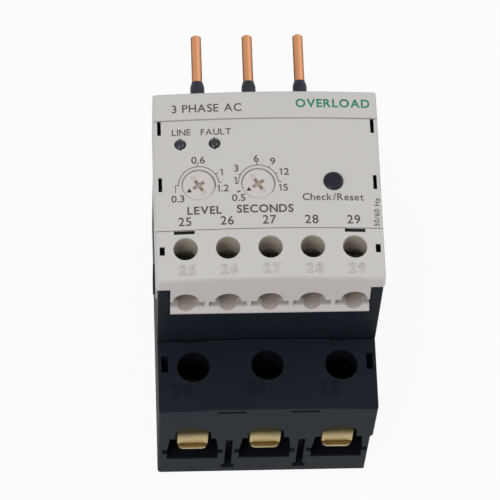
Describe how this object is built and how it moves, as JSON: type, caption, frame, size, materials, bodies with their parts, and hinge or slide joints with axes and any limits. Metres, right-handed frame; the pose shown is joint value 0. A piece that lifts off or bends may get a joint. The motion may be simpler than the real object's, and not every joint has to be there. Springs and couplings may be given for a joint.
{
  "type": "plug-in electronic overload relay",
  "caption": "Plug-in phase current monitoring relay: stepped two-tone housing, copper line pins, setting dials, reset button and rows of screw terminals.",
  "frame": {"origin": "middle of the flat back face", "axes": "+X across the width to the right, +Y towards the tips of the line pins, +Z out of the front face"},
  "size_m": [0.0542, 0.103, 0.075],
  "materials": {
    "black_housing": "fine spark-eroded moulded thermoplastic",
    "cream_housing": "fine spark-eroded moulded thermoplastic",
    "copper": "drawn solid copper, lightly dulled",
    "brass": "stamped brass",
    "zinc_steel": "zinc-plated steel",
    "black_sleeve": "insulating sleeve",
    "dial_plastic": "moulded dial",
    "button_plastic": "glossy moulded button",
    "lamp_lens": "tinted lamp body, unlit",
    "board": "glass-fibre board with solder mask",
    "core_steel": "strip-wound core",
    "winding": "enamelled wire winding",
    "component_black": "moulded component",
    "component_blue": "moulded trimmer case",
    "component_pale": "moulded relay case"
  },
  "bodies": {
    "relay_body": {"base_housing": "black_housing", "front_cover": "cream_housing", "terminal_block": "cream_housing", "line_pin_1": "copper", "pin_sleeve_1": "black_sleeve", "ct_core_1": "core_steel", "ct_winding_1": "winding", "load_strap_1": "brass", "line_pin_2": "copper", "pin_sleeve_2": "black_sleeve", "ct_core_2": "core_steel", "ct_winding_2": "winding", "load_strap_2": "brass", "line_pin_3": "copper", "pin_sleeve_3": "black_sleeve", "ct_core_3": "core_steel", "ct_winding_3": "winding", "load_strap_3": "brass", "aux_tongue_1": "brass", "aux_tongue_2": "brass", "aux_tongue_3": "brass", "aux_tongue_4": "brass", "aux_tongue_5": "brass", "circuit_board": "board", "sensor_board": "board", "output_relay": "component_pale", "filter_capacitor": "component_black", "control_chip": "component_black", "current_trimmer": "component_blue", "time_trimmer": "component_blue", "power_lamp": "lamp_lens", "trip_lamp": "lamp_lens", "reset_switch": "component_black"},
    "load_clamp_1": {"load_clamp_1": "brass"},
    "load_screw_1": {"load_screw_1": "zinc_steel"},
    "load_clamp_2": {"load_clamp_2": "brass"},
    "load_screw_2": {"load_screw_2": "zinc_steel"},
    "load_clamp_3": {"load_clamp_3": "brass"},
    "load_screw_3": {"load_screw_3": "zinc_steel"},
    "aux_clamp_1": {"aux_clamp_1": "zinc_steel"},
    "aux_screw_1": {"aux_screw_1": "zinc_steel"},
    "aux_clamp_2": {"aux_clamp_2": "zinc_steel"},
    "aux_screw_2": {"aux_screw_2": "zinc_steel"},
    "aux_clamp_3": {"aux_clamp_3": "zinc_steel"},
    "aux_screw_3": {"aux_screw_3": "zinc_steel"},
    "aux_clamp_4": {"aux_clamp_4": "zinc_steel"},
    "aux_screw_4": {"aux_screw_4": "zinc_steel"},
    "aux_clamp_5": {"aux_clamp_5": "zinc_steel"},
    "aux_screw_5": {"aux_screw_5": "zinc_steel"},
    "current_dial": {"current_dial": "dial_plastic"},
    "time_dial": {"time_dial": "dial_plastic"},
    "reset_button": {"reset_button": "button_plastic", "reset_plunger": "component_black"}
  },
  "joints": [
    {"name": "load_clamp_1_lift", "type": "slide", "parent": "relay_body", "child": "load_clamp_1", "axis": [0, 0, 1], "range_m": [0, 0.0042]},
    {"name": "load_screw_1_turn", "type": "hinge", "parent": "load_clamp_1", "child": "load_screw_1", "pos_m": [-0.018, -0.0233, 0.0195], "axis": [0, 0, 1], "range_deg": [0, 2162]},
    {"name": "load_clamp_2_lift", "type": "slide", "parent": "relay_body", "child": "load_clamp_2", "axis": [0, 0, 1], "range_m": [0, 0.0042]},
    {"name": "load_screw_2_turn", "type": "hinge", "parent": "load_clamp_2", "child": "load_screw_2", "pos_m": [0, -0.0233, 0.0195], "axis": [0, 0, 1], "range_deg": [0, 2162]},
    {"name": "load_clamp_3_lift", "type": "slide", "parent": "relay_body", "child": "load_clamp_3", "axis": [0, 0, 1], "range_m": [0, 0.0042]},
    {"name": "load_screw_3_turn", "type": "hinge", "parent": "load_clamp_3", "child": "load_screw_3", "pos_m": [0.018, -0.0233, 0.0195], "axis": [0, 0, 1], "range_deg": [0, 2162]},
    {"name": "aux_clamp_1_lift", "type": "slide", "parent": "relay_body", "child": "aux_clamp_1", "axis": [0, 0, 1], "range_m": [0, 0.002]},
    {"name": "aux_screw_1_turn", "type": "hinge", "parent": "aux_clamp_1", "child": "aux_screw_1", "pos_m": [-0.02, -0.00625, 0.0632], "axis": [0, 0, 1], "range_deg": [0, 1442]},
    {"name": "aux_clamp_2_lift", "type": "slide", "parent": "relay_body", "child": "aux_clamp_2", "axis": [0, 0, 1], "range_m": [0, 0.002]},
    {"name": "aux_screw_2_turn", "type": "hinge", "parent": "aux_clamp_2", "child": "aux_screw_2", "pos_m": [-0.01, -0.00625, 0.0632], "axis": [0, 0, 1], "range_deg": [0, 1442]},
    {"name": "aux_clamp_3_lift", "type": "slide", "parent": "relay_body", "child": "aux_clamp_3", "axis": [0, 0, 1], "range_m": [0, 0.002]},
    {"name": "aux_screw_3_turn", "type": "hinge", "parent": "aux_clamp_3", "child": "aux_screw_3", "pos_m": [0, -0.00625, 0.0632], "axis": [0, 0, 1], "range_deg": [0, 1442]},
    {"name": "aux_clamp_4_lift", "type": "slide", "parent": "relay_body", "child": "aux_clamp_4", "axis": [0, 0, 1], "range_m": [0, 0.002]},
    {"name": "aux_screw_4_turn", "type": "hinge", "parent": "aux_clamp_4", "child": "aux_screw_4", "pos_m": [0.01, -0.00625, 0.0632], "axis": [0, 0, 1], "range_deg": [0, 1442]},
    {"name": "aux_clamp_5_lift", "type": "slide", "parent": "relay_body", "child": "aux_clamp_5", "axis": [0, 0, 1], "range_m": [0, 0.002]},
    {"name": "aux_screw_5_turn", "type": "hinge", "parent": "aux_clamp_5", "child": "aux_screw_5", "pos_m": [0.02, -0.00625, 0.0632], "axis": [0, 0, 1], "range_deg": [0, 1442]},
    {"name": "current_dial_turn", "type": "hinge", "parent": "relay_body", "child": "current_dial", "pos_m": [-0.01645, 0.01035, 0.07], "axis": [0, 0, 1], "range_deg": [-225, 0]},
    {"name": "time_dial_turn", "type": "hinge", "parent": "relay_body", "child": "time_dial", "pos_m": [-0.0023, 0.01035, 0.07], "axis": [0, 0, 1], "range_deg": [-225, 0]},
    {"name": "reset_button_press", "type": "slide", "parent": "relay_body", "child": "reset_button", "axis": [0, 0, -1], "range_m": [0, 0.001], "stiffness_N_per_m": 800}
  ],
  "couplings": [
    {"joint": "load_screw_1_turn", "follows": "load_clamp_1_lift", "rad_per_m": 8976},
    {"joint": "load_screw_2_turn", "follows": "load_clamp_2_lift", "rad_per_m": 8976},
    {"joint": "load_screw_3_turn", "follows": "load_clamp_3_lift", "rad_per_m": 8976},
    {"joint": "aux_screw_1_turn", "follows": "aux_clamp_1_lift", "rad_per_m": 12566},
    {"joint": "aux_screw_2_turn", "follows": "aux_clamp_2_lift", "rad_per_m": 12566},
    {"joint": "aux_screw_3_turn", "follows": "aux_clamp_3_lift", "rad_per_m": 12566},
    {"joint": "aux_screw_4_turn", "follows": "aux_clamp_4_lift", "rad_per_m": 12566},
    {"joint": "aux_screw_5_turn", "follows": "aux_clamp_5_lift", "rad_per_m": 12566}
  ]
}
